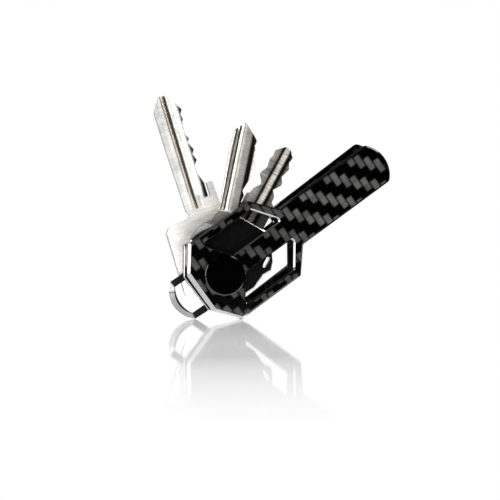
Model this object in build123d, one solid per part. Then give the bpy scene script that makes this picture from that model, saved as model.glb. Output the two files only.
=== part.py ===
from build123d import *
import math
import os

os.makedirs("parts", exist_ok=True)

# Key organiser: two carbon plates with three keys fanned out on one post.
# Every flat piece is drawn looking at its front face: x runs away from the
# post along the arm or the key, y is to its left, and the stack builds
# backwards from the front plate's outer face.

# ---- thicknesses, mm
disc_thick = 1.7
gasket_thick = 0.3
plate_thick = 2.2
washer_thick = 0.4
small_bow_thick = 2.7
small_blade_thick = 1.9
mid_key_thick = 2.1
loop_thick = 1.8
big_key_thick = 2.3
screw_head_thick = 1.6
slide_gap = 0.02
across_all = 40.0

# ---- depth of each layer behind the front plate's outer face, mm
small_key_depth = plate_thick + washer_thick
mid_key_depth = small_key_depth + small_bow_thick + washer_thick
rear_plate_depth = mid_key_depth + mid_key_thick + washer_thick
loop_depth = rear_plate_depth + plate_thick
big_key_depth = loop_depth + loop_thick + washer_thick
screw_head_depth = big_key_depth + big_key_thick + washer_thick

# ---- directions above the horizontal, degrees
arm_angle = 35.95
plate_twist = 1.35
loop_twist = -1.4
small_key_angle = 61.41
mid_key_angle = 78.23
big_key_angle = 107.21

# ---- carbon plates, mm
arm_half = 7.4
arm_end = 68.3
arm_end_radius = 10.0
head_half = 15.4
head_flat_half = 7.0
head_back = 10.1
head_back_corner = 3.6
head_front_corner = 21.2
head_neck = 28.0
window_inner = 3.65
front_window_outer = 12.35
rear_window_outer = 11.2
window_slant = 0.745
window_start = 9.29
window_end = 29.43
head_corner_radius = 0.7
window_corner_radius = 0.8
front_end_corner = 1.8
rear_end_corner = 1.0
front_bevel = 0.6
rear_bevel = 0.25
nose_bevel = 1.3
cheek_bevel = 0.85
window_bevel = 0.5
back_bevel = 0.25

# ---- post and screw, mm
post_radius = 2.5
post_flat = 2.1
post_end_gap = 0.1
hole_play = 0.08
disc_radius = 6.75
disc_bevel = 0.3
gasket_inset = 0.35
key_hole_radius = 2.55
screw_radius = 1.5
screw_bore_radius = 1.52
screw_bore_start = 1.2
screw_shank_start = 5.0
screw_head_radius = 6.2
screw_head_bevel = 0.35
screw_slot_width = 1.3
screw_slot_depth = 0.7
screw_rest_turn = 40.0
washer_radius = 5.2

# ---- key loop, mm
loop_half = 7.55
loop_leg = 2.2
loop_straight = 14.45
loop_outer_end = 18.35
loop_inner_end = 16.05
loop_boss_radius = 7.2
loop_outer_bevel = 1.6
loop_end_rise = 0.42


def slab(outline, depth, thick):
    """A flat piece whose front face lies at the given depth."""
    return Pos(0, 0, -depth - thick) * extrude(outline, amount=thick, dir=(0, 0, 1))


def polygon(points):
    """A flat closed outline through the given corners."""
    return make_face(Polyline(*points, close=True).edges())


def front_face(part):
    return part.faces().sort_by(Axis.Z)[-1]


def back_face(part):
    return part.faces().sort_by(Axis.Z)[0]


def disc(radius, depth, thick):
    return slab(Circle(radius), depth, thick)


def double_d(radius, flat):
    """Round hole or shaft section with two flats along the arm."""
    return Circle(radius) & Rectangle(4 * radius, 2 * flat)


plate_hole = double_d(post_radius + hole_play, post_flat + hole_play)


# ---- carbon plates
def window(outer):
    """One slanted window of the head, on the left of the arm."""
    corners = [
        (window_start - window_slant * window_inner, window_inner),
        (window_end - window_slant * window_inner, window_inner),
        (window_end - window_slant * outer, outer),
        (window_start - window_slant * outer, outer),
    ]
    opening = polygon(corners)
    return fillet(opening.vertices(), window_corner_radius)


def facet(direction, reach, size):
    """Everything beyond a 45 degree facet on the front rim, for a plate lying at depth 0."""
    block = Pos(across_all / 2, 0, 0) * Box(across_all, 2 * across_all, across_all)
    beyond = Pos(reach - size / 2, 0, -size / 2) * Rot(0, -45, 0) * block
    return Rot(0, 0, direction) * beyond


def carbon_plate(window_outer, end_corner, rim_bevel, depth):
    arc_centre = arm_end - arm_end_radius
    corner = arc_centre + math.sqrt(arm_end_radius**2 - arm_half**2)
    left_side = [
        (corner, arm_half),
        (head_neck, arm_half),
        (head_front_corner, head_half),
        (-head_back_corner, head_half),
        (-head_back, head_flat_half),
    ]
    right_side = [(x, -y) for x, y in reversed(left_side)]
    rim = Polyline(*left_side, *right_side)
    end = ThreePointArc(right_side[-1], (arm_end, 0), left_side[0])
    outline = make_face(rim.edges() + end.edges())
    end_corners = outline.vertices().filter_by_position(Axis.X, corner - 1, corner + 1)
    outline = fillet(end_corners, end_corner)
    head_corners = outline.vertices().filter_by_position(Axis.X, -head_back - 1, head_neck + 1)
    outline = fillet(head_corners, head_corner_radius)
    opening = window(window_outer)
    outline = outline - opening - mirror(opening, Plane.XZ) - plate_hole
    plate = slab(outline, depth, plate_thick)
    plate = chamfer(front_face(plate).outer_wire().edges(), rim_bevel)
    plate = chamfer(back_face(plate).outer_wire().edges(), back_bevel)
    window_length = window_end - window_start
    for face_of in (front_face, back_face):
        size = window_bevel if face_of is front_face else back_bevel
        for number in range(2):
            rims = [wire for wire in face_of(plate).inner_wires() if wire.length > window_length]
            rims.sort(key=lambda wire: wire.center().Y)
            plate = chamfer(rims[number].edges(), size)
    return plate


cheek_slope = math.atan2(head_half - head_flat_half, head_back - head_back_corner)
cheek_direction = 90 + math.degrees(cheek_slope)
cheek_reach = head_back * math.sin(cheek_slope) + head_flat_half * math.cos(cheek_slope)
front_plate = carbon_plate(front_window_outer, front_end_corner, front_bevel, 0)
front_plate -= facet(180, head_back, nose_bevel)
front_plate -= facet(cheek_direction, cheek_reach, cheek_bevel)
front_plate -= facet(-cheek_direction, cheek_reach, cheek_bevel)
rear_plate = carbon_plate(rear_window_outer, rear_end_corner, rear_bevel, rear_plate_depth)
rear_plate = Rot(0, 0, plate_twist) * rear_plate


# ---- loop plate: a boss on the post, two legs and the D-shaped end
def loop_outline(half, straight, end):
    left = (-straight, half)
    right = (-straight, -half)
    sides = Polyline(left, (0, half), (0, -half), right)
    bow = ThreePointArc(right, (-end, 0), left)
    return make_face(sides.edges() + bow.edges())


loop_inner_half = loop_half - loop_leg
inner_straight = loop_inner_end - (loop_outer_end - loop_straight) * loop_end_rise
outer = loop_outline(loop_half, loop_straight, loop_outer_end)
inner = loop_outline(loop_inner_half, inner_straight, loop_inner_end)
boss = Circle(loop_boss_radius)
legs = outer - inner - (Pos(loop_boss_radius, 0) * Rectangle(2 * loop_boss_radius, across_all))
loop_shape = legs + boss - plate_hole
loop_plate = slab(loop_shape, loop_depth, loop_thick)

loop_edges = front_face(loop_plate).outer_wire().edges()
bow_edges = [edge for edge in loop_edges if edge.center().X < -loop_inner_end]
loop_plate = chamfer(bow_edges, loop_outer_bevel)

# ---- post, screw, gasket and washers
post_length = screw_head_depth - post_end_gap
post_disc = disc(disc_radius, -disc_thick - gasket_thick, disc_thick)
post_disc = chamfer(front_face(post_disc).edges(), disc_bevel)
barrel = slab(double_d(post_radius, post_flat), -gasket_thick, post_length + gasket_thick)
screw_bore = disc(screw_bore_radius, screw_bore_start, post_length)
pivot_post = post_disc + barrel - screw_bore

screw_head = disc(screw_head_radius, screw_head_depth, screw_head_thick)
screw_head = chamfer(back_face(screw_head).edges(), screw_head_bevel)
screw_shank = disc(screw_radius, screw_shank_start, screw_head_depth - screw_shank_start)
slot_cutter = Box(across_all, screw_slot_width, 2 * screw_slot_depth)
slot = Pos(0, 0, -screw_head_depth - screw_head_thick) * slot_cutter
pivot_screw = screw_head + screw_shank - slot

disc_gasket = slab(Circle(disc_radius - gasket_inset) - plate_hole, -gasket_thick, gasket_thick)


def washer(depth):
    return slab(Circle(washer_radius) - Circle(post_radius + hole_play), depth, washer_thick)


front_washer = washer(plate_thick)
middle_washer = washer(mid_key_depth - washer_thick)
rear_washer = washer(rear_plate_depth - washer_thick)
loop_washer = washer(loop_depth + loop_thick)

# The spring washer is a shallow dish that fills the last gap.
dish_inner = post_radius + hole_play
dish_steel = 0.22
dish_points = [
    (dish_inner, -screw_head_depth),
    (dish_inner, -screw_head_depth + dish_steel),
    (washer_radius, -screw_head_depth + washer_thick),
    (washer_radius, -screw_head_depth + washer_thick - dish_steel),
]
dish_section = Plane.XZ * polygon(dish_points)
spring_washer = revolve(dish_section, Axis.Z, 360)

# ---- keys. Each blade edge is a list of (distance from the post, offset).
key_hole = Circle(key_hole_radius)
key_edge_break = 0.15
small_milled_from = 20.6
mid_milled_from = 21.8
big_flank_from = 26.7
big_groove_from = 28.0
big_line_from = 30.0
big_groove_tail = 23.4
past_tip = 70.0
bow_front_bevel = 0.45
bow_back_bevel = 0.3


def blade_groove(start, end, centre, width, far_level, depth):
    """A straight milled groove with round ends, on the back of a blade."""
    run = Pos((start + end) / 2, centre) * SlotOverall(end - start, width)
    return Pos(0, 0, -far_level - 1) * extrude(run, amount=depth + 1, dir=(0, 0, 1))


def relief(section, start, end, depth):
    """What milling takes off a key's front face, from (offset to the left, level) points."""
    closed = section + [(section[-1][0], 1.0), (section[0][0], 1.0)]
    face = Plane.YZ * polygon(closed)
    return Pos(start, 0, -depth) * extrude(face, amount=end - start, dir=(1, 0, 0))


def break_edges(part, size):
    """Take the sharp edge off both faces of a stamped key."""
    part = chamfer(front_face(part).outer_wire().edges(), size)
    return chamfer(back_face(part).outer_wire().edges(), size)


# Small key: a blade cut on both sides, held in a moulded bow.
small_right = [(48.5, -0.1), (46.3, -2.2), (44.3, -1.85), (42.3, -2.9), (38.9, -1.9)]
small_right += [(37.1, -3.0), (36.2, -3.1), (33.6, -1.4), (31.6, -2.9), (29.6, -3.0)]
small_right += [(28.4, -4.6), (26.7, -4.7), (19.0, -4.7), (19.0, -6.5), (-5.0, -6.5)]
small_left = [(-5.0, 6.5), (19.0, 6.5), (19.0, 5.4), (26.7, 5.9), (28.5, 5.9), (29.0, 5.0)]
small_left += [(31.1, 4.6), (33.5, 3.0), (34.7, 3.5), (36.3, 4.95), (37.4, 4.8), (39.7, 3.8)]
small_left += [(42.5, 4.4), (44.3, 3.85), (46.0, 4.15), (48.5, 1.7)]
small_inset = (small_bow_thick - small_blade_thick) / 2
small_blade_depth = small_key_depth + small_inset
small_key_blade = slab(polygon(small_right + small_left), small_blade_depth, small_blade_thick)
small_section = [(7.0, -0.3), (2.0, -0.3), (1.55, -0.75), (1.4, -0.75), (1.38, -0.02)]
small_section += [(-0.85, -0.02), (-1.35, -0.75), (-1.45, -0.75), (-1.47, -0.35), (-7.0, -0.35)]
small_key_blade -= relief(small_section, small_milled_from, past_tip, small_blade_depth)
for offset in (-1.95, 1.3):
    far_level = small_blade_depth + small_blade_thick
    small_key_blade -= blade_groove(small_milled_from, past_tip, offset, 0.9, far_level, 0.45)

small_bow_top = 20.15
small_bow_corner = 0.5
ring_slot_length = 4.0
ring_slot_width = 1.3
bow_left = [(small_bow_top, 6.2), (14.3, 9.9), (12.0, 11.5), (9.5, 13.4), (7.3, 14.6)]
bow_left += [(5.2, 15.2), (2.8, 14.2), (0.5, 11.9), (-4.6, 8.3), (-7.0, 3.5)]
bow_right = [(-7.0, -3.5), (-4.6, -8.3), (1.5, -11.6), (6.5, -12.1), (9.2, -13.7)]
bow_right += [(12.2, -12.8), (14.5, -11.3), (small_bow_top, -6.2)]
bow_shape = polygon(bow_left + bow_right)
bow_shape = fillet(bow_shape.vertices(), small_bow_corner)
ring_slot = Pos(11.0, -10.9) * SlotOverall(ring_slot_length, ring_slot_width)
small_key_bow = slab(bow_shape, small_key_depth + slide_gap, small_bow_thick - 2 * slide_gap)
small_key_bow = chamfer(front_face(small_key_bow).outer_wire().edges(), bow_front_bevel)
small_key_bow = chamfer(back_face(small_key_bow).outer_wire().edges(), bow_back_bevel)
small_key_bow -= small_key_blade
small_key_bow -= slab(ring_slot, small_key_depth - 1, small_bow_thick + 2)
small_post_hole = disc(key_hole_radius, small_key_depth - 1, small_bow_thick + 2)
small_key_blade = small_key_blade - small_post_hole
small_key_bow = small_key_bow - small_post_hole

# Middle key: round bow, cuts on the right, a raised rib on the left.
mid_bow_radius = 13.4
mid_bow_centre = 6.3
mid_tip = [(52.3, 2.2), (49.8, 4.8), (48.7, 5.3)]
mid_left = [(41.8, 5.75), (22.5, 4.9), (16.8, 7.5), (10.0, 9.0)]
mid_right = [(10.0, -9.0), (17.0, -7.5), (22.6, -4.2), (24.3, -2.1), (25.8, -1.6), (28.0, -2.2)]
mid_right += [(29.6, -1.3), (32.1, -2.3), (36.0, -4.1), (40.7, -4.0), (42.9, -3.6)]
mid_right += [(45.4, -2.4), (47.0, -3.4), (47.2, -2.9)]
mid_shape = polygon(mid_tip + mid_left + mid_right)
mid_shape = mid_shape + Pos(mid_bow_centre, 0) * Circle(mid_bow_radius) - key_hole
mid_thick = mid_key_thick - 2 * slide_gap
mid_near = mid_key_depth + slide_gap
mid_far = mid_near + mid_thick
mid_key = break_edges(slab(mid_shape, mid_near, mid_thick), key_edge_break)
mid_section = [(5.0, -0.02), (4.55, -0.45), (4.3, -0.45), (4.0, -0.12), (3.75, -0.12), (3.5, -0.5)]
mid_section += [(3.3, -0.5), (2.75, -0.12), (2.3, -0.05), (2.2, -0.15), (2.1, -0.05), (1.6, -0.02)]
mid_section += [(1.5, -0.12), (-1.35, -0.12), (-2.7, -0.9), (-7.0, -0.45)]
mid_key -= relief(mid_section, mid_milled_from, past_tip, mid_near)
mid_key -= blade_groove(mid_milled_from, past_tip, 2.1, 1.0, mid_far, 0.5)
mid_key -= blade_groove(mid_milled_from, past_tip, -0.9, 1.6, mid_far, 0.45)

# Big key: square bow, a stop tab on the right of the blade, one long groove.
big_bow_half = 12.5
big_bow_bottom = 6.2
big_bow_corner = 3.5
big_step = 19.8
big_face_step = 0.15
big_left = [(63.7, 1.6), (59.0, 4.5), (45.7, 4.4), (26.4, 3.9), (23.7, 3.8), (22.6, 3.0)]
big_left += [(21.7, 3.8), (21.1, 5.6), (20.9, 9.5), (20.1, 11.5), (18.6, big_bow_half)]
big_left += [(-big_bow_bottom, big_bow_half)]
big_right = [(-big_bow_bottom, -big_bow_half), (18.6, -big_bow_half), (20.1, -11.5), (20.9, -9.8)]
big_right += [(21.6, -8.6), (24.2, -8.1), (31.3, -7.8), (31.65, -6.7), (31.5, -5.7), (26.7, -5.7)]
big_right += [(26.7, -5.06), (31.7, -5.06), (35.2, -3.7), (38.0, -3.55), (39.8, -4.9)]
big_right += [(42.1, -4.0), (43.5, -5.0), (46.3, -3.5), (47.45, -4.5), (49.2, -3.5)]
big_right += [(53.1, -3.65), (54.3, -4.4), (56.0, -4.0), (57.7, -5.0), (60.3, -3.2), (63.7, -0.65)]
big_shape = polygon(big_left + big_right)
bottom_corners = big_shape.vertices().sort_by(Axis.X)[:2]
big_shape = fillet(bottom_corners, big_bow_corner)
big_thick = big_key_thick - 2 * slide_gap
big_near = big_key_depth + slide_gap
big_far = big_near + big_thick
big_key = break_edges(slab(big_shape - key_hole, big_near, big_thick), key_edge_break)
face_cutter = Pos(big_step + past_tip / 2, 0) * Box(past_tip, across_all, 2 * big_face_step)
thin_front = Pos(0, 0, -big_near) * face_cutter
thin_back = Pos(0, 0, -big_far) * face_cutter
big_key = big_key - thin_front - thin_back
big_face = big_near + big_face_step
big_line = [(1.4, 0.0), (1.27, -0.22), (1.13, -0.22), (1.05, 0.0)]
big_groove = [(0.62, 0.0), (-0.5, -0.85), (-0.62, -0.85), (-0.66, -0.3), (-3.1, -0.02), (-3.3, -0.02)]
big_flank = [(-3.2, -0.01), (-5.35, -0.95)]
big_key -= relief(big_line, big_line_from, past_tip, big_face)
big_key -= relief(big_groove, big_groove_from, past_tip, big_face)
big_key -= relief(big_flank, big_flank_from, past_tip, big_face)
run_out_start = [(0.62, 0.3), (0.62, 0.0), (-0.5, -0.85), (-0.62, -0.85), (-0.66, -0.3), (-0.66, 0.3)]
run_out_end = [(-0.6, 0.3), (-0.6, -0.02), (-0.7, -0.1), (-0.72, -0.1), (-0.74, -0.05), (-0.74, 0.3)]
full_section = Pos(big_groove_from, 0, -big_face) * (Plane.YZ * polygon(run_out_start))
last_section = Pos(big_groove_tail, 0, -big_face) * (Plane.YZ * polygon(run_out_end))
big_key -= loft([full_section, last_section], ruled=True)
big_key -= blade_groove(big_groove_tail, past_tip, 1.9, 1.1, big_far, 0.75)

# ---- stand the stack up: arm to the upper right, front face towards -Y,
# and the origin on the loop's inner edge, where a ring hangs.
arm_x = math.cos(math.radians(arm_angle))
arm_z = math.sin(math.radians(arm_angle))
hang_x = -loop_inner_end * arm_x
hang_y = loop_depth + loop_thick / 2
hang_z = -loop_inner_end * arm_z
stand_up = Pos(-hang_x, -hang_y, -hang_z) * Plane((0, 0, 0), x_dir=(1, 0, 0), z_dir=(0, -1, 0)).location

pieces = [
    ("front_plate", front_plate, arm_angle),
    ("rear_plate", rear_plate, arm_angle),
    ("loop_plate", loop_plate, arm_angle + loop_twist),
    ("pivot_post", pivot_post, arm_angle),
    ("pivot_screw", pivot_screw, arm_angle + screw_rest_turn),
    ("disc_gasket", disc_gasket, arm_angle),
    ("front_washer", front_washer, arm_angle),
    ("middle_washer", middle_washer, arm_angle),
    ("rear_washer", rear_washer, arm_angle),
    ("loop_washer", loop_washer, arm_angle),
    ("spring_washer", spring_washer, arm_angle),
    ("small_key_blade", small_key_blade, small_key_angle),
    ("small_key_bow", small_key_bow, small_key_angle),
    ("mid_key", mid_key, mid_key_angle),
    ("big_key", big_key, big_key_angle),
]

for name, shape, angle in pieces:
    standing = stand_up * Rot(0, 0, angle) * shape
    standing.label = name
    export_step(standing, "parts/" + name + ".step")
    print(name, "volume", round(standing.volume, 2), "solids", len(standing.solids()))
print("post axis in the part frame", round(-hang_x, 3), round(-hang_y, 3), round(-hang_z, 3))
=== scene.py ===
import bpy
import math
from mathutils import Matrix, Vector


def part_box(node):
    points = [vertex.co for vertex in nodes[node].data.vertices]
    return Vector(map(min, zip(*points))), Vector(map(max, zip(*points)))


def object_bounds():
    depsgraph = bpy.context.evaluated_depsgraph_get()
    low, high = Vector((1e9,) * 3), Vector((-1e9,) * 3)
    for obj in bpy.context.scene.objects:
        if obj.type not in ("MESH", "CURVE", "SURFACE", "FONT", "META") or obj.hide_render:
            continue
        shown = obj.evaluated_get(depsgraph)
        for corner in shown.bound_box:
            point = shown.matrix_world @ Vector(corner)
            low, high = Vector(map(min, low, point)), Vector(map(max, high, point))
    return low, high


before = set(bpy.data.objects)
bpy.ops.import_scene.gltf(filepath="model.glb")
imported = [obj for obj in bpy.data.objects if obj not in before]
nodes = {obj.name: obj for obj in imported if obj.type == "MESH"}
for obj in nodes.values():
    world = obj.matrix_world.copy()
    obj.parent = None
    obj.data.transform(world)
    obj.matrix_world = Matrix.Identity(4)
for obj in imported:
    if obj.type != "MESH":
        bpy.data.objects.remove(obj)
cad_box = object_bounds()

# ---- the object's own directions and places, in metres and degrees
MM = 0.001
ARM_ANGLE = 35.95
PLATE_TWIST = 1.35
LOOP_ANGLE = 34.55
SMALL_ANGLE = 61.41
MIDDLE_ANGLE = 78.23
BIG_ANGLE = 107.21
post_low, post_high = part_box("pivot_post")
POST = Vector(((post_low.x + post_high.x) / 2, 0, (post_low.z + post_high.z) / 2))
FRONT_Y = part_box("front_plate")[0].y
FLOOR_Z = cad_box[0][2]

# ---- looks: tones are reflectances, the weave's tows are in metres
TOW_ALONG = 2.54 * MM
TOW_ACROSS = 2.5 * MM
TOW_WANDER = 0.25  # how far the tows stray, in tows
PLY = 0.25 * MM  # one layer of the laminate, seen on the machined edges
FIBRES_PER_TOW = 22.0
FLAT_NORMAL = 0.97  # a face whose normal is nearer to the front than this is flat
CARBON_FRONT_LIGHT = 0.027  # painted sheen: the tows that run across the arm and catch the light
# the rear plate's light tows are painted darker than the front's, as painted shade
CARBON_REAR_LIGHT = 0.004
CARBON_DARK = 0.0002  # tows that run along the arm
HEAD_SHADE = 0.42
FLAT_COAT = 0.3
ARM_EDGE_COAT = 0.07
WALL_COAT = 0.1
WORN_COAT = 0.15
BAND_REACH = 8.0  # the blades' bands reach this far left and right of the post's line, in mm
RIGHT_FLANK = 2.5 * MM  # a blade's right flank lies beyond this
SHOULDER = (20.0 * MM, 22.0 * MM)  # a key's bow turns into its blade between these


# ---- small helpers for node materials
class Tree:
    """A material's nodes, made by short calls. Sockets and plain numbers both work as inputs."""

    def __init__(self, name):
        self.material = bpy.data.materials.new(name)
        self.material.use_nodes = True
        self.nodes = self.material.node_tree.nodes
        self.links = self.material.node_tree.links
        self.nodes.clear()
        self.output = self.nodes.new("ShaderNodeOutputMaterial")

    def put(self, socket, value):
        if isinstance(value, bpy.types.NodeSocket):
            self.links.new(value, socket)
        else:
            socket.default_value = value

    def fill(self, kind, *values):
        """A new node of a kind, with its first inputs filled in order."""
        node = self.nodes.new(kind)
        for socket, value in zip(node.inputs, values):
            self.put(socket, value)
        return node

    def math(self, operation, *values):
        node = self.fill("ShaderNodeMath", *values)
        node.operation = operation
        return node.outputs[0]

    def add(self, first, second):
        return self.math("ADD", first, second)

    def subtract(self, first, second):
        return self.math("SUBTRACT", first, second)

    def divide(self, first, second):
        return self.math("DIVIDE", first, second)

    def times(self, first, *others):
        product = first
        for other in others:
            product = self.math("MULTIPLY", product, other)
        return product

    def swing(self, value, size):
        """A noise value of about 0.5 turned into a swing about 0."""
        return self.times(self.subtract(value, 0.5), size)

    def clamp(self, value):
        return self.fill("ShaderNodeClamp", value).outputs[0]

    def smooth(self, value, low, high, out_low=0.0, out_high=1.0):
        node = self.fill("ShaderNodeMapRange", value, low, high, out_low, out_high)
        node.interpolation_type = "SMOOTHSTEP"
        return node.outputs[0]

    def choose(self, switch, if_one, if_zero):
        """One of two values, by a switch that is 1 or 0."""
        return self.add(self.times(switch, if_one), self.times(self.subtract(1.0, switch), if_zero))

    def object_point(self):
        return self.nodes.new("ShaderNodeTexCoord").outputs["Object"]

    def facing(self):
        """1 where the surface looks straight forwards or backwards, 0 where it looks sideways."""
        normal = self.nodes.new("ShaderNodeTexCoord").outputs["Normal"]
        return self.math("ABSOLUTE", self.split(normal)[1])

    def flat(self):
        """1 on the flat front and back faces, 0 on edges and bevels."""
        return self.math("GREATER_THAN", self.facing(), FLAT_NORMAL)

    def split(self, vector):
        return self.fill("ShaderNodeSeparateXYZ", vector).outputs

    def join(self, x, y, z):
        return self.fill("ShaderNodeCombineXYZ", x, y, z).outputs[0]

    def place(self, point, angle):
        """Distances from the post, along a piece that rises at an angle and to the right of it."""
        turn = math.radians(angle)
        forward = (math.cos(turn), 0, math.sin(turn))
        right = (math.sin(turn), 0, -math.cos(turn))
        return self.along(point, forward), self.along(point, right)

    def along(self, point, direction):
        node = self.nodes.new("ShaderNodeVectorMath")
        node.operation = "DOT_PRODUCT"
        self.put(node.inputs[0], point)
        node.inputs[1].default_value = direction
        return self.subtract(node.outputs["Value"], Vector(direction).dot(POST))

    def noise(self, vector, scale, detail=2.0, roughness=0.5):
        node = self.nodes.new("ShaderNodeTexNoise")
        self.put(node.inputs["Vector"], vector)
        node.inputs["Scale"].default_value = scale
        node.inputs["Detail"].default_value = detail
        node.inputs["Roughness"].default_value = roughness
        return node.outputs["Fac"]

    def stretched_noise(self, u, v, u_scale, v_scale, slice_z, detail=3.0, roughness=0.5):
        """Noise drawn out into streaks, by its own scale in each direction."""
        vector = self.join(self.times(u, u_scale), self.times(v, v_scale), slice_z)
        return self.noise(vector, 1.0, detail, roughness)

    def mix(self, factor, first, second):
        node = self.nodes.new("ShaderNodeMix")
        node.data_type = "RGBA"
        self.put(node.inputs["Factor"], factor)
        self.put(node.inputs["A"], first)
        self.put(node.inputs["B"], second)
        return node.outputs["Result"]

    def bump(self, height, strength, distance):
        node = self.nodes.new("ShaderNodeBump")
        self.put(node.inputs["Height"], height)
        node.inputs["Strength"].default_value = strength
        node.inputs["Distance"].default_value = distance
        return node.outputs[0]

    def principled(self, **values):
        node = self.nodes.new("ShaderNodeBsdfPrincipled")
        for name, value in values.items():
            self.put(node.inputs[name.replace("_", " ")], value)
        self.links.new(node.outputs[0], self.output.inputs[0])
        return node


def grey(value):
    return (value, value, value, 1.0)


# ---- woven carbon under a clear coat
def carbon(name, angle, shift, light):
    """A 2 by 2 twill. The shift moves the weave along the arm and across it, in tows."""
    tree = Tree(name)
    point = tree.object_point()
    u, v = tree.place(point, angle)
    drift = tree.swing(tree.noise(point, 90, 1.0), TOW_WANDER)
    tow_u = tree.add(tree.divide(u, TOW_ALONG), tree.add(drift, shift[0]))
    tow_v = tree.add(tree.divide(v, TOW_ACROSS), tree.add(drift, shift[1]))
    tow_u_number = tree.math("FLOOR", tow_u)
    tow_v_number = tree.math("FLOOR", tow_v)
    # over two, under two: the first two steps of each four show the tow that runs across the arm
    step = tree.math("FLOORED_MODULO", tree.subtract(tow_v_number, tow_u_number), 4.0)
    across = tree.math("LESS_THAN", step, 1.5)
    part_v = tree.math("FRACT", tow_v)

    def crown(part):
        """1 in the middle of a tow and 0 at its two sides."""
        centred = tree.subtract(tree.times(part, 2.0), 1.0)
        return tree.subtract(1.0, tree.math("POWER", tree.math("ABSOLUTE", centred), 2.5))

    height = tree.choose(across, crown(tree.math("FRACT", tow_u)), crown(part_v))
    float_end = crown(tree.divide(tree.add(step, part_v), 2.0))
    # fibres: fine streaks that run across the arm in one set of tows and along it in the other
    streak = tree.choose(
        across,
        tree.stretched_noise(tow_u, tow_v, FIBRES_PER_TOW, 0.7, 0.0, roughness=0.7),
        tree.stretched_noise(tow_u, tow_v, 0.7, FIBRES_PER_TOW, 4.0, roughness=0.7),
    )
    # each tow has a tone of its own, and painted shade darkens it at its sides and where it dives
    # under the next
    tow_tone = tree.noise(tree.join(tow_u_number, tow_v_number, 2.0), 1.7, 0.0)
    tone = tree.times(
        tree.smooth(streak, 0.3, 0.7, 0.55, 1.3),
        tree.smooth(tow_tone, 0.3, 0.7, 0.8, 1.18),
        tree.smooth(height, 0.05, 0.95, 0.1, 1.0),
        tree.smooth(float_end, 0.05, 0.5, 0.2, 1.0),
    )
    # painted sheen lights only the tows that run across the arm; they are left dark on the arm's
    # left margin and at its tip, and the head has no such margin, and is painted in half shade
    left_margin = tree.smooth(v, -7.0 * MM, -5.9 * MM)
    arm_end = tree.smooth(u, 65.6 * MM, 67.2 * MM, 1.0, 0.0)
    on_head = tree.smooth(u, 26 * MM, 30 * MM, 1.0, 0.0)
    margin = tree.clamp(tree.add(tree.times(left_margin, arm_end), on_head))
    shaded = tree.smooth(u, 18 * MM, 44 * MM, HEAD_SHADE, 1.0)
    weave = tree.choose(
        across,
        tree.times(tree.times(tone, margin), tree.times(shaded, light)),
        tree.times(tone, CARBON_DARK),
    )
    # machined edges: plies seen end on
    flat = tree.flat()
    depth = tree.split(point)[1]
    plies = tree.math("SINE", tree.times(depth, 2 * math.pi / PLY))
    tone = tree.choose(flat, weave, tree.smooth(plies, -1.0, 1.0, 0.0004, 0.0016))
    # the clear coat is thick over the rounded nose, and thin on the arm's sawn edges, on the
    # head's worn right side and on upright walls
    edge_coat = tree.smooth(u, 30 * MM, 36 * MM, 1.0, ARM_EDGE_COAT)
    worn_side = tree.times(
        tree.math("GREATER_THAN", v, 11.7 * MM), tree.smooth(u, -2.5 * MM, -0.5 * MM))
    worn = tree.subtract(1.0, tree.times(worn_side, 1.0 - WORN_COAT))
    edge_coat = tree.times(edge_coat, worn, tree.smooth(tree.facing(), 0.3, 0.5, WALL_COAT, 1.0))
    relief = tree.times(tree.add(tree.times(height, 0.7), tree.times(streak, 0.3)), flat)
    tree.principled(
        Base_Color=tree.join(tone, tone, tree.times(tone, 0.94)),
        Roughness=tree.add(0.33, tree.times(streak, 0.15)), Specular_IOR_Level=0.005,
        Coat_Weight=tree.choose(flat, FLAT_COAT, edge_coat), Coat_Roughness=0.04, Coat_IOR=1.5,
        Normal=tree.bump(relief, 0.25, 0.06 * MM),
    )
    return tree.material


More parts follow.
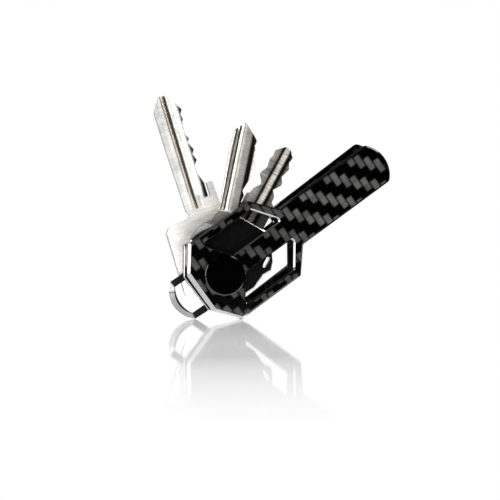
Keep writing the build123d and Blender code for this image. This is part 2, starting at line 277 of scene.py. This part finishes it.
# ---- metals, plastics and coatings
def key_metal(name, angle, tone, roughness, streaks, blade_start=0.0, bands=(),
              cutter_marks=0.0, flank_delay=0.0, shades=(), sides=(0.04, 0.04), blue=1.0):
    """Stamped key metal: fine lines along the blade, faint stains and pits.

    bands: the milled blade's tones from left to right, each as (offset in mm, tone, warmth):
    painted reflection on the raised faces, painted shade in the grooves and on the steep flanks.
    blade_start: where the bands begin, in mm from the post, and flank_delay later on the right.
    shades: lengths of the key in shadow or in light, each as (start, end, softness, factor).
    sides: how bright the sheared edges are painted, on the bow and on the blade, as painted shade.
    blue: the tint's blue part, below 1 for a warmer metal.
    """
    tree = Tree(name)
    point = tree.object_point()
    u, v = tree.place(point, angle)
    lines = tree.stretched_noise(u, v, 150.0, 9000.0, 0.0, roughness=0.65)
    stains = tree.noise(point, 260, 4.0, 0.6)
    pits = tree.noise(point, 3200, 2.0, 0.5)
    colour = tree.join(tone, tone * 0.99, tone * 0.97)
    mottle_and_shade = tree.times(
        tree.smooth(stains, 0.25, 0.75, 0.92, 1.06),
        tree.smooth(lines, 0.3, 0.7, 1.0 - 0.15 * streaks, 1.0 + 0.1 * streaks),
        tree.smooth(pits, 0.3, 0.7, 0.93, 1.06),
    )
    if bands:
        wander = tree.swing(tree.noise(point, 500, 2.0), 0.25)
        offset_mm = tree.add(tree.divide(v, MM), wander)
        ramp = tree.nodes.new("ShaderNodeValToRGB")
        tree.put(ramp.inputs[0], tree.divide(tree.add(offset_mm, BAND_REACH), 2 * BAND_REACH))
        stops = ramp.color_ramp.elements
        while len(stops) < len(bands):
            stops.new(0.5)
        for stop, (offset, shade, warmth) in zip(stops, bands):
            stop.position = (offset + BAND_REACH) / (2 * BAND_REACH)
            stop.color = (shade, shade * (1 - 0.4 * warmth), shade * (1 - warmth), 1.0)
        late = tree.times(tree.math("GREATER_THAN", v, RIGHT_FLANK), flank_delay * MM)
        on_blade = tree.smooth(
            tree.subtract(u, late), (blade_start - 0.3) * MM, (blade_start + 0.3) * MM)
        colour = tree.mix(on_blade, colour, ramp.outputs["Color"])
        ticks = tree.stretched_noise(u, v, 1500.0, 200.0, 7.0, detail=1.0)
        mottle_and_shade = tree.times(mottle_and_shade, tree.smooth(
            ticks, 0.38, 0.62, 1.0 - cutter_marks, 1.0 + 0.5 * cutter_marks))
    # painted shade on the sheared edges, which are painted darker than the polished faces
    walls = tree.smooth(u, *SHOULDER, *sides)
    mottle_and_shade = tree.times(mottle_and_shade, tree.smooth(tree.facing(), 0.74, 0.8, walls, 1.0))
    for start, end, soft, factor in shades:
        inside = tree.times(
            tree.smooth(u, (start - soft) * MM, (start + soft) * MM),
            tree.smooth(u, (end - soft) * MM, (end + soft) * MM, 1.0, 0.0),
        )
        mottle_and_shade = tree.times(mottle_and_shade, tree.smooth(inside, 0.0, 1.0, 1.0, factor))
    tint = tree.join(mottle_and_shade, tree.times(mottle_and_shade, (2.0 + blue) / 3), tree.times(mottle_and_shade, blue))
    tinted = tree.fill("ShaderNodeVectorMath", colour, tint)
    tinted.operation = "MULTIPLY"
    relief = tree.add(tree.times(lines, streaks), tree.times(pits, 0.5))
    tree.principled(
        Base_Color=tinted.outputs[0], Metallic=1.0,
        Roughness=tree.add(roughness, tree.swing(stains, 0.12)),
        Normal=tree.bump(relief, 0.12, 0.02 * MM),
    )
    return tree.material


# the blades' bands, for each key: painted reflection on the raised faces, painted shade in the
# grooves and on the flanks
SMALL_BANDS = [
    (-6.0, 0.16, 0.03), (-4.6, 0.36, 0.03), (-3.4, 0.28, 0.03), (-2.6, 0.20, 0.05),
    (-2.2, 0.03, 0.2), (-1.85, 0.012, 0.2), (-1.55, 0.22, 0.06), (-1.2, 0.56, 0.07),
    (-0.3, 0.72, 0.07), (0.1, 0.6, 0.07), (0.5, 0.03, 0.2), (1.25, 0.004, 0.2),
    (1.6, 0.06, 0.05), (2.2, 0.18, 0.03), (3.0, 0.26, 0.03), (4.6, 0.30, 0.03),
    (6.0, 0.12, 0.03),
]
MIDDLE_BANDS = [
    (-6.2, 0.62, 0.02), (-5.4, 0.52, 0.03), (-5.05, 0.40, 0.08), (-4.8, 0.10, 0.2),
    (-4.5, 0.16, 0.1), (-4.25, 0.70, 0.1), (-4.0, 0.35, 0.2), (-3.7, 0.05, 0.2),
    (-3.45, 0.04, 0.15), (-3.2, 0.12, 0.05), (-2.8, 0.45, 0.02), (-2.5, 0.50, 0.02),
    (-2.15, 0.28, 0.03), (-1.85, 0.62, 0.02), (-1.5, 0.68, 0.03), (-1.2, 0.37, 0.04),
    (0.6, 0.33, 0.04), (0.85, 0.14, 0.1), (1.1, 0.012, 0.2), (2.3, 0.012, 0.2),
    (2.6, 0.06, 0.1), (2.9, 0.60, 0.01), (3.4, 0.85, 0.01), (4.3, 0.80, 0.01),
    (7.0, 0.60, 0.01),
]
BIG_BANDS = [
    (-5.0, 0.52, 0.01), (-4.4, 0.64, 0.01), (-3.0, 0.62, 0.01), (-2.2, 0.76, 0.01),
    (-1.75, 0.76, 0.02), (-1.35, 0.58, 0.15), (-1.1, 0.42, 0.12), (-0.85, 0.74, 0.1),
    (-0.6, 0.58, 0.2), (-0.35, 0.26, 0.35), (0.2, 0.14, 0.35), (0.45, 0.2, 0.2),
    (0.75, 0.72, 0.01), (1.4, 0.60, 0.01), (1.8, 0.55, 0.02), (2.3, 0.92, 0.0),
    (3.2, 0.90, 0.0), (3.5, 0.70, 0.01), (3.8, 0.22, 0.01), (4.2, 0.03, 0.02),
    (5.2, 0.01, 0.02), (5.4, 0.6, 0.01), (8.0, 0.6, 0.01),
]


def glossy_dark(tree, level, roughness, gloss, edge_gloss, normal):
    """A dark shader whose gloss is painted; an export that drops the paint gets half the edge's."""
    shader = tree.principled(
        Base_Color=tree.join(level, level, level), Roughness=roughness,
        Specular_IOR_Level=gloss, Normal=normal,
    )
    shader.inputs["Specular IOR Level"].default_value = edge_gloss / 2
    return tree.material


def coated_metal(name, tone, roughness, grain, edge_gloss, polished_beyond=None):
    """Dark anodised or painted metal: a fine even grain, with shinier edges.

    polished_beyond: on the loop, how far below the post the edges begin to shine, in mm.
    """
    tree = Tree(name)
    point = tree.object_point()
    fine = tree.noise(point, 6000, 2.0, 0.6)
    broad = tree.noise(point, 240, 3.0, 0.5)
    gloss = tree.smooth(tree.flat(), 0.0, 1.0, edge_gloss, 0.0)
    if polished_beyond:
        u = tree.place(point, LOOP_ANGLE)[0]
        polished = tree.smooth(
            u, (-polished_beyond - 0.3) * MM, (-polished_beyond + 0.3) * MM, 1.0, 0.0)
        gloss = tree.times(gloss, polished)
    return glossy_dark(
        tree, tree.smooth(broad, 0.3, 0.7, tone * 0.8, tone * 1.2),
        tree.add(roughness, tree.swing(broad, 0.12)),
        gloss, edge_gloss, tree.bump(fine, grain, 0.01 * MM))


def moulded_plastic(name, tone, roughness, edge_gloss=0.2):
    """Black moulded plastic: a fine grain and paler scuffs, with shinier edges."""
    tree = Tree(name)
    point = tree.object_point()
    grain = tree.noise(point, 4200, 3.0, 0.6)
    scuffs = tree.noise(point, 700, 4.0, 0.7)
    gloss = tree.smooth(tree.flat(), 0.0, 1.0, edge_gloss, 0.02)
    return glossy_dark(
        tree, tree.smooth(scuffs, 0.35, 0.75, tone, tone * 2.2),
        tree.add(roughness, tree.swing(grain, 0.2)),
        gloss, edge_gloss, tree.bump(grain, 0.3, 0.02 * MM))


def give(node, material):
    mesh = nodes[node].data
    mesh.materials.clear()
    mesh.materials.append(material)


give("front_plate", carbon(
    "carbon_front", ARM_ANGLE, shift=(2.815, 0.6), light=CARBON_FRONT_LIGHT))
give("rear_plate", carbon(
    "carbon_rear", ARM_ANGLE + PLATE_TWIST, shift=(0.4, 0.7), light=CARBON_REAR_LIGHT))
give("loop_plate", coated_metal(
    "loop_black", tone=0.002, roughness=0.16, grain=0.1, edge_gloss=0.32, polished_beyond=14.7))
give("pivot_post", coated_metal(
    "disc_black", tone=0.0001, roughness=0.15, grain=0.06, edge_gloss=0.06))
give("pivot_screw", coated_metal(
    "screw_black", tone=0.012, roughness=0.35, grain=0.3, edge_gloss=0.5))
give("disc_gasket", moulded_plastic("gasket_black", tone=0.01, roughness=0.6))
for washer in ("front_washer", "middle_washer", "rear_washer", "loop_washer"):
    give(washer, moulded_plastic(washer + "_nylon", tone=0.05, roughness=0.5))
give("spring_washer", key_metal(
    "spring_steel", angle=0, tone=0.5, roughness=0.3, streaks=0.4))
give("small_key_blade", key_metal(
    "small_steel", SMALL_ANGLE, tone=0.30, roughness=0.36, streaks=0.6,
    blade_start=19.0, bands=SMALL_BANDS, cutter_marks=0.35,
    shades=[(-60.0, 25.75, 1.75, 0.12)], blue=0.91))
give("small_key_bow", moulded_plastic(
    "bow_plastic", tone=0.0006, roughness=0.26, edge_gloss=0.5))
give("mid_key", key_metal(
    "middle_steel", MIDDLE_ANGLE, tone=0.5, roughness=0.36, streaks=0.6,
    blade_start=21.8, bands=MIDDLE_BANDS, cutter_marks=0.12,
    shades=[(16.1, 21.2, 0.35, 0.42), (21.4, 22.3, 0.15, 1.6)], sides=(0.04, 0.35), blue=0.93))
give("big_key", key_metal(
    "big_nickel", BIG_ANGLE, tone=0.68, roughness=0.36, streaks=0.4,
    blade_start=23.9, bands=BIG_BANDS, cutter_marks=0.08, flank_delay=3.0,
    sides=(0.08, 0.2), blue=0.97))


# ---- floor: pale, with a polished strip that fades towards the viewer
# places in metres, x to the right and y away from the viewer
GLOW_NEAR, GLOW_FAR = 0.06, 0.3  # the glow grows between these distances from the object
POLISH_START = -0.568  # the polish begins here, and is full after the rise
POLISH_RISE = 0.05
STRIP_X = 0.009  # the strip's middle line at the object, and how it leans
STRIP_LEAN = 0.194
STRIP_TIP = -0.66  # where the strip's sides would meet, and how fast they part
STRIP_SPREAD = 0.15


def floor_material():
    tree = Tree("pale_floor")
    x, y, _ = tree.split(tree.object_point())
    far = tree.math("SQRT", tree.add(tree.times(x, x), tree.times(y, y)))
    glow = tree.nodes.new("ShaderNodeEmission")
    glow.inputs["Color"].default_value = grey(1.0)
    tree.put(glow.inputs["Strength"], tree.smooth(far, GLOW_NEAR, GLOW_FAR, 0.7, 1.01))
    albedo = tree.smooth(far, GLOW_NEAR, GLOW_FAR, 0.2, 0.0)
    matt = tree.nodes.new("ShaderNodeBsdfDiffuse")
    tree.put(matt.inputs["Color"], tree.join(albedo, albedo, albedo))
    body = tree.fill("ShaderNodeAddShader", glow.outputs[0], matt.outputs[0])
    # seen directly, the floor is as white as the room, and a key that swings below it still shows
    clear = tree.nodes.new("ShaderNodeBsdfTransparent")
    path = tree.nodes.new("ShaderNodeLightPath")
    seen = tree.fill(
        "ShaderNodeMixShader", path.outputs["Is Camera Ray"], body.outputs[0], clear.outputs[0])
    gloss = tree.nodes.new("ShaderNodeBsdfGlossy")
    gloss.inputs["Color"].default_value = grey(1.0)
    gloss.inputs["Roughness"].default_value = 0.02
    grazing = tree.nodes.new("ShaderNodeLayerWeight")
    grazing.inputs["Blend"].default_value = 0.3
    polish = tree.clamp(tree.divide(tree.subtract(y, POLISH_START), POLISH_RISE))
    behind = tree.smooth(y, 0.01, 0.05, 1.0, 0.0)
    share = tree.times(tree.smooth(y, -0.5, -0.3, 0.47, 0.6), behind)
    aside = tree.subtract(x, tree.add(STRIP_X, tree.times(y, STRIP_LEAN)))
    half_width = tree.times(tree.subtract(y, STRIP_TIP), STRIP_SPREAD)
    strip = tree.smooth(
        tree.divide(tree.math("ABSOLUTE", aside), half_width), 0.9, 1.5, 1.0, 0.0)
    polish = tree.times(polish, tree.times(share, strip), grazing.outputs["Fresnel"])
    mixer = tree.fill("ShaderNodeMixShader", polish, seen.outputs[0], gloss.outputs[0])
    tree.links.new(mixer.outputs[0], tree.output.inputs[0])
    return tree.material


bpy.ops.mesh.primitive_plane_add(size=6.0, location=(POST.x, 0, FLOOR_Z))
floor = bpy.context.object
floor.name = "floor"
floor.data.materials.append(floor_material())


# ---- world: white behind the object, dim in front of it, and white where it is seen directly
WORLD_FRONT, WORLD_BACK = 0.006, 1.0  # the room's brightness before and behind the object
WORLD_TURN = (0.3, 0.8)  # it changes between these, from 0 sideways to 1 straight back


def make_world():
    world = bpy.data.worlds.new("studio")
    world.use_nodes = True
    tree = world.node_tree
    tree.nodes.clear()
    out = tree.nodes.new("ShaderNodeOutputWorld")
    back = tree.nodes.new("ShaderNodeBackground")
    coord = tree.nodes.new("ShaderNodeTexCoord")
    split = tree.nodes.new("ShaderNodeSeparateXYZ")
    ramp = tree.nodes.new("ShaderNodeMapRange")
    ramp.interpolation_type = "SMOOTHSTEP"
    for socket, number in zip(ramp.inputs[1:5], (*WORLD_TURN, WORLD_FRONT, WORLD_BACK)):
        socket.default_value = number
    path = tree.nodes.new("ShaderNodeLightPath")
    most = tree.nodes.new("ShaderNodeMath")
    most.operation = "MAXIMUM"
    tree.links.new(coord.outputs["Generated"], split.inputs[0])
    tree.links.new(split.outputs[1], ramp.inputs[0])
    tree.links.new(ramp.outputs[0], most.inputs[0])
    tree.links.new(path.outputs["Is Camera Ray"], most.inputs[1])
    back.inputs["Color"].default_value = grey(1.0)
    tree.links.new(most.outputs[0], back.inputs["Strength"])
    tree.links.new(back.outputs[0], out.inputs[0])
    bpy.context.scene.world = world


def direction_from(azimuth, elevation):
    """Unit vector from the object towards an azimuth and elevation; azimuth 0 is the front."""
    az = math.radians(azimuth)
    el = math.radians(elevation)
    return Vector((math.sin(az) * math.cos(el), -math.cos(az) * math.cos(el), math.sin(el)))


def add_object(name, data, location, rotation):
    thing = bpy.data.objects.new(name, data)
    bpy.context.scene.collection.objects.link(thing)
    thing.location = location
    thing.rotation_euler = rotation
    return thing


def look_along(direction):
    return direction.to_track_quat("-Z", "Y").to_euler()


def area_light(name, width, height, power, location, rotation):
    """A rectangle of light, which itself is not seen by the camera."""
    light = bpy.data.lights.new(name, "AREA")
    light.shape = "RECTANGLE"
    light.size = width
    light.size_y = height
    light.energy = power
    add_object(name, light, location, rotation).visible_camera = False


make_world()
AIM = Vector((POST.x + 0.015, FRONT_Y + 0.008, POST.z + 0.015))  # the object's middle
SOFTBOXES = [  # name, azimuth, elevation, distance, width, height, power
    ("key_light", -38, 30, 0.7, 0.40, 0.40, 11.0),
    ("left_strip", -88, 8, 0.5, 0.24, 0.45, 11.0),
    ("top_light", 10, 55, 0.6, 0.5, 0.25, 5.0),
    ("right_fill", 62, 15, 0.8, 0.2, 0.4, 0.1),
    ("upper_left", -79, 63, 0.6, 0.2, 0.2, 0.1),
    ("rim_light", 96, 52, 0.6, 0.2, 0.2, 8.0),
]
for name, azimuth, elevation, distance, width, height, power in SOFTBOXES:
    away = direction_from(azimuth, elevation)
    area_light(name, width, height, power, AIM + away * distance, look_along(-away))

# a glowing sheet on the floor on the left, which the lower left edges mirror
LOW_WIDTH = 0.157
LOW_RIGHT_END = POST.x + 0.04
low_place = (LOW_RIGHT_END - LOW_WIDTH / 2, FRONT_Y - 0.02, FLOOR_Z + 0.0002)
face_up = (math.pi, 0, 0)
area_light("low_glow", LOW_WIDTH, 0.12, 0.65, low_place, face_up)

# ---- camera: a little below the middle of the object, almost at floor level
CAMERA_DISTANCE = 0.6
target = Vector((POST.x + 8.73 * MM, FRONT_Y, POST.z + 8.44 * MM))
away = direction_from(azimuth=-11, elevation=-2)
camera_data = bpy.data.cameras.new("camera")
camera_data.lens = 129.6
camera_data.sensor_width = 36
camera_data.clip_start = 0.002
bpy.context.scene.camera = add_object(
    "camera", camera_data, target + away * CAMERA_DISTANCE, look_along(-away))
bpy.context.scene.view_settings.view_transform = "Standard"
